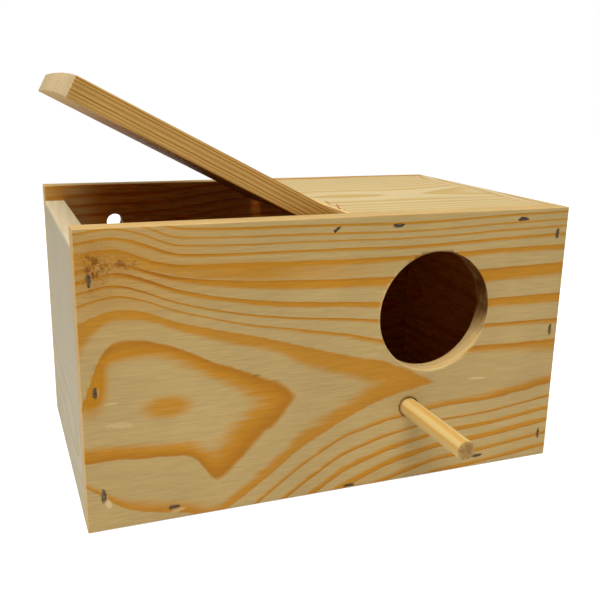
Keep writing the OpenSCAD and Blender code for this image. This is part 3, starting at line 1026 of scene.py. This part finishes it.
def pine(name, stretch, pale, orange, rim, seed, wobble=0.10, softness=0.2, fray=0.3,
         inside=(0.98, 0.45, 0.09, 1), marks=(), place=None, contrast=0.10, end=None, ends=0.3,
         even=0.9):
    """A pine material. marks are (centre mm, half mm, turns, break, colour, strength);
    end is the colour of sawn end grain, which some boards also lay as painted light on lit
    faces, and ends the share of the ring colours in it; inside is the colour that
    multiplies faces marked for painted shade; even is the least strength of a ring, so a
    low one makes the rings unlike."""
    material = bpy.data.materials.new(name)
    material.use_nodes = True
    sheet = Sheet(material.node_tree)
    shader = material.node_tree.nodes["Principled BSDF"]
    if place is None:
        point = sheet.node("ShaderNodeTexCoord").outputs["Object"]
    else:
        point = place(sheet)
    fibres = sheet.group(fibre_group, Point=point, Stretch=stretch)
    rings = sheet.group(
        ring_group, Ring=sheet.attribute("ring"), Onset=sheet.attribute("onset"), Point=point,
        Streak=fibres["Streak"], Seed=float(seed), Wobble=wobble, Softness=softness, Fray=fray,
        Brown=sheet.attribute("brown"), Even=even, Pale=pale, Orange=orange, Rim=rim,
    )
    colour = rings["Color"]
    patchy = sheet.maths("ADD", 0.55, sheet.maths("MULTIPLY", fibres["Streak"], 0.9))
    tinted = sheet.maths("MULTIPLY", sheet.attribute("tint"), patchy, clamp=True)
    colour = sheet.mix(tinted, colour, orange)
    swirl = sheet.noise(point, 430, 4, 0.65)
    in_knot = sheet.attribute("knot")
    colour = sheet.mix(sheet.maths("MULTIPLY", in_knot, 0.6), colour, KNOT)
    specks = sheet.step(sheet.maths("ADD", swirl, sheet.maths("MULTIPLY", in_knot, 0.10)), 0.54, 0.68)
    colour = sheet.mix(sheet.maths("MULTIPLY", specks, in_knot, clamp=True), colour, SPECK)
    flecks = sheet.step(sheet.noise(point, 900, 3, 0.6), 0.60, 0.68)
    colour = sheet.mix(sheet.maths("MULTIPLY", flecks, sheet.maths("MULTIPLY", in_knot, 0.4)), colour, TORN)
    if end is not None:
        sawn = sheet.mix(ends, end, colour)
        colour = sheet.mix(sheet.attribute("end"), colour, sawn)
    # Painted shade in a dark burnt brown on the upper right of the entrance's wall.
    patches = sheet.step(sheet.noise(point, 160, 3, 0.6), 0.25, 0.65, 0.72, 1.0)
    shaded_wall = sheet.maths("MULTIPLY", sheet.attribute("scorch"), patches)
    colour = sheet.mix(shaded_wall, colour, WALL_SHADE_BROWN)
    # Faces marked inside, which carry painted shade, also get stronger fibre lines.
    swing = sheet.maths("ADD", 2 * contrast, sheet.maths("MULTIPLY", sheet.attribute("inside"), 1.8))
    fine_less = sheet.maths("SUBTRACT", fibres["Fine"], 0.5)
    lines = sheet.maths("ADD", 1, sheet.maths("MULTIPLY", fine_less, swing))
    slow = sheet.maths("ADD", 1 - contrast * 0.7, sheet.maths("MULTIPLY", fibres["Cloud"], 1.4 * contrast))
    level = sheet.maths("MULTIPLY", lines, slow)
    bright = sheet.node("ShaderNodeHueSaturation")
    sheet.put(bright.inputs["Value"], level)
    sheet.put(bright.inputs["Color"], colour)
    colour = bright.outputs["Color"]
    for centre, half, turn, broken, paint, strength in marks:
        mask = sheet.group(
            mark_group, Point=point, Centre=[c * MM for c in centre], Half=[h * MM for h in half],
            Turn=[math.radians(t) for t in turn], Break=broken,
        )["Mask"]
        colour = sheet.mix(sheet.maths("MULTIPLY", mask, strength), colour, paint)
    # Painted shade: faces marked inside are multiplied by the board's inside colour.
    colour = sheet.mix(sheet.attribute("inside"), colour, sheet.mix(1.0, colour, inside, "MULTIPLY"))
    sheet.put(shader.inputs["Base Color"], colour)
    rough = sheet.maths("SUBTRACT", 0.66, sheet.maths("MULTIPLY", rings["Late"], 0.14))
    sheet.put(shader.inputs["Roughness"], rough)
    shader.inputs["Specular IOR Level"].default_value = 0.15
    bump = sheet.node("ShaderNodeBump")
    bump.inputs["Strength"].default_value = 0.25
    bump.inputs["Distance"].default_value = 0.0003
    relief = sheet.maths("ADD", fibres["Height"], sheet.maths("MULTIPLY", rings["Late"], 0.5))
    sheet.put(bump.inputs["Height"], relief)
    sheet.put(shader.inputs["Normal"], bump.outputs["Normal"])
    print(name, "has", len(material.node_tree.nodes), "nodes")
    return material

# %% [markdown]
# ### The front's small marks
# A few marks are placed one by one: a pale pressed line under the entrance, torn fibres in
# the loop and at the lower left corner, and a dark scratch. Every staple then gets two more
# from its own place, a pale torn patch beside it and a soiled one round the crown.

# %% Marks on the front
face = front_y / MM
front_marks = (
    ((64.5, face, 42.6), (5.0, 2, 0.35), (0, -4, 0), 0.5, TORN, 0.75),
    ((-91.5, face, 42.5), (5, 2, 1.3), (0, -6, 0), 2.8, TORN, 0.32),
    ((-94.5, face, 51.5), (3, 2, 0.4), (0, 0, 0), 2.0, TORN, 0.4),
    ((-96.9, face, 11.0), (1.2, 2, 2.2), (0, 20, 0), 1.2, TORN, 0.6),
    ((-70, face, 3.4), (3.2, 2, 0.7), (0, 10, 0), 1.2, TORN, 0.4),
    ((-38, face, 56), (2.2, 2, 0.35), (0, 4, 0), 0.6, DARK, 0.5),
)
torn_marks = []
for i, name in enumerate(front_staples):
    low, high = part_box(name)
    upright = high.z - low.z > high.x - low.x
    middle = ((low.x + high.x) / 2 / MM, face, (low.z + high.z) / 2 / MM)
    off = 1.1 * math.sin(2.4 * i + 1)
    centre = (middle[0] + (0.8 if upright else off), face, middle[2] + (off if upright else -0.7))
    half = (0.7, 2, 2.0) if upright else (2.2, 2, 0.5)
    torn_marks.append((centre, half, (0, 12 * math.sin(i), 0), 2.2, TORN, 0.32))
    soiled = (1.3, 2, 2.7) if upright else (2.9, 2, 1.2)
    torn_marks.append((middle, soiled, (0, 0, 0), 1.4, DARK, 0.45))
all_front_marks = front_marks + tuple(torn_marks)
print(len(all_front_marks), "marks on the front")

# %% [markdown]
# ### The pine of each fixed board
# One wood, but each board came from another plank: its three colours are the pale early
# wood, the orange late wood and the thin rim where a year stops. The left side is nearly
# grey, the roof is pale and soft, and the roof has two short splits next to the hinge.

# %% The fixed boards' pine
front_pine = pine(
    "Front pine", GRAIN_X, linear(180, 153, 99), linear(181, 122, 20), linear(136, 72, 14),
    seed=3, wobble=0.09, softness=0.15, fray=0.32, contrast=0.25, marks=all_front_marks,
    end=linear(230, 196, 134), ends=0.45,
)
back_pine = pine(
    "Back pine", GRAIN_X, linear(194, 168, 112), linear(184, 126, 40), linear(150, 90, 22), seed=7,
    end=linear(206, 182, 138),
)
left_pine = pine(
    "Left side pine", GRAIN_Y, linear(190, 178, 150), linear(178, 160, 124), linear(160, 138, 100),
    seed=12, softness=0.3, end=linear(226, 209, 168), ends=0.35,
)
right_pine = pine(
    "Right side pine", GRAIN_Y, linear(200, 178, 132), linear(192, 154, 88), linear(170, 122, 60), seed=17,
)
roof_top = roof_high.z / MM
CRACK = linear(156, 94, 40)
roof_marks = (
    ((5.9, -31, roof_top), (0.45, 11, 2), (0, 0, 13.3), 0.8, CRACK, 0.9),
    ((6.2, -40.6, roof_top), (0.45, 9.5, 2), (0, 0, 18.8), 0.8, CRACK, 0.9),
    ((6, -47.7, roof_top), (0.5, 0.6, 2), (0, 0, 0), 0.5, CRACK, 0.7),
    ((4.2, -36, roof_top), (1.0, 14, 2), (0, 0, 8), 0.9, TORN, 0.5),
)
roof_pine = pine(
    "Roof pine", GRAIN_X, linear(202, 181, 134), linear(194, 162, 98), linear(174, 136, 74),
    seed=23, softness=0.3, contrast=0.10, marks=roof_marks, end=linear(240, 196, 124), ends=0.2,
)
base_pine = pine(
    "Floor pine", GRAIN_X, linear(198, 172, 120), linear(184, 132, 50), linear(150, 94, 26), seed=29,
    inside=(0.85, 0.5, 0.22, 1),
)

# %% [markdown]
# ### The pine of the lid and the dowel
# The lid is turned on its pins, and fibres read from plain coordinates would run across it
# at an angle. So its material reads the flat place that was stored on its points. The
# dowel's fibres run from front to back, and its cut end is a darker brown.


# %% The lid's and the dowel's pine
def lid_place(sheet):
    """The lid's own coordinate, flat as it was before the hinge turned it."""
    joined = sheet.node("ShaderNodeCombineXYZ")
    middle = sheet.node("ShaderNodeSeparateXYZ")
    sheet.put(middle.inputs[0], sheet.node("ShaderNodeTexCoord").outputs["Object"])
    sheet.put(joined.inputs[0], sheet.attribute("flat_x"))
    sheet.put(joined.inputs[1], middle.outputs[1])
    sheet.put(joined.inputs[2], sheet.attribute("flat_z"))
    return joined.outputs[0]


lid_pine = pine(
    "Lid pine", GRAIN_X, linear(198, 166, 102), linear(162, 106, 22), linear(134, 78, 16),
    seed=31, inside=(0.66, 0.42, 0.2, 1), wobble=0.3, softness=0.17, fray=0.6,
    place=lid_place, contrast=0.26, end=linear(234, 224, 200), ends=0.75, even=0.5,
)
dowel_pine = pine(
    "Dowel pine", GRAIN_Y, linear(203, 176, 113), linear(198, 154, 78), linear(184, 132, 56),
    seed=37, wobble=0.04, end=linear(146, 116, 70), ends=0.35,
)

# %% [markdown]
# ## Staples and pins
# These are drawn steel wire and small nails, dull and a little stained where they sit in
# the wood. They stay as the frame made them, and only get this metal.

# %% The steel
BARE_STEEL = (0.19, 0.14, 0.085, 1)
STAINED_STEEL = (0.035, 0.019, 0.008, 1)
steel = bpy.data.materials.new("Fastener steel")
steel.use_nodes = True
sheet = Sheet(steel.node_tree)
shader = steel.node_tree.nodes["Principled BSDF"]
point = sheet.node("ShaderNodeTexCoord").outputs["Object"]
stain = sheet.noise(point, 900, 4, 0.65)
scratch = sheet.noise(point, 3000, 2, 0.5)
dark = sheet.step(stain, 0.42, 0.68)
sheet.put(shader.inputs["Base Color"], sheet.mix(dark, BARE_STEEL, STAINED_STEEL))
sheet.put(shader.inputs["Metallic"], sheet.maths("SUBTRACT", 0.75, sheet.maths("MULTIPLY", dark, 0.6)))
sheet.put(shader.inputs["Roughness"], sheet.maths("ADD", 0.3, sheet.maths("MULTIPLY", scratch, 0.4)))
bump = sheet.node("ShaderNodeBump")
bump.inputs["Strength"].default_value = 0.2
bump.inputs["Distance"].default_value = 0.0001
sheet.put(bump.inputs["Height"], scratch)
sheet.put(shader.inputs["Normal"], bump.outputs["Normal"])
print("steel has", len(steel.node_tree.nodes), "nodes")

# %% [markdown]
# ## The floor's paper
# The floor should be as white as the surround, so that no line shows where it ends, and
# still take the box's soft shadow. Matt paper does the second. For the first, it glows a
# little, but only where the camera sees it, so that it adds no light to the box.

# %% The stage floor
PAPER_GLOW = 0.45
paper = bpy.data.materials.new("Pale paper")
paper.use_nodes = True
sheet = Sheet(paper.node_tree)
shader = paper.node_tree.nodes["Principled BSDF"]
point = sheet.node("ShaderNodeTexCoord").outputs["Object"]
tooth = sheet.noise(point, 160, 3, 0.6)
sheet.put(shader.inputs["Base Color"], sheet.mix(tooth, (0.90, 0.90, 0.90, 1), (0.93, 0.93, 0.93, 1)))
shader.inputs["Roughness"].default_value = 0.9
shader.inputs["Specular IOR Level"].default_value = 0.1
shader.inputs["Emission Color"].default_value = (1, 1, 1, 1)
seen = sheet.node("ShaderNodeLightPath").outputs["Is Camera Ray"]
sheet.put(shader.inputs["Emission Strength"], sheet.maths("MULTIPLY", seen, PAPER_GLOW))
stage_floor.data.materials.append(paper)
print("paper glows with strength", PAPER_GLOW)

# %% [markdown]
# ## Everything to its place
# Each new board rides on the body that its CAD node belongs to and stands for that node.
# The steel goes into the slots of the staples and pins.

# %% Ride, replace and finish
for piece, node, body, slot, material in (
    (front, "front_board", "box", "pine_board", front_pine),
    (back, "back_board", "box", "pine_board", back_pine),
    (left_side, "left_side_board", "box", "pine_board", left_pine),
    (right_side, "right_side_board", "box", "pine_board", right_pine),
    (roof, "roof_board", "box", "pine_board", roof_pine),
    (base, "floor_board", "box", "pine_board", base_pine),
    (lid, "hinged_lid", "lid", "lid_pine", lid_pine),
    (perch, "perch_dowel", "box", "dowel", dowel_pine),
):
    piece.data.materials.clear()
    piece.data.materials.append(material)
    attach(piece, body)
    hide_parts(node)

for name in front_staples + back_staples + ["hinge_pin_front", "hinge_pin_back"]:
    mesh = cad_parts[name].data
    mesh.materials.clear()
    mesh.materials.append(steel)
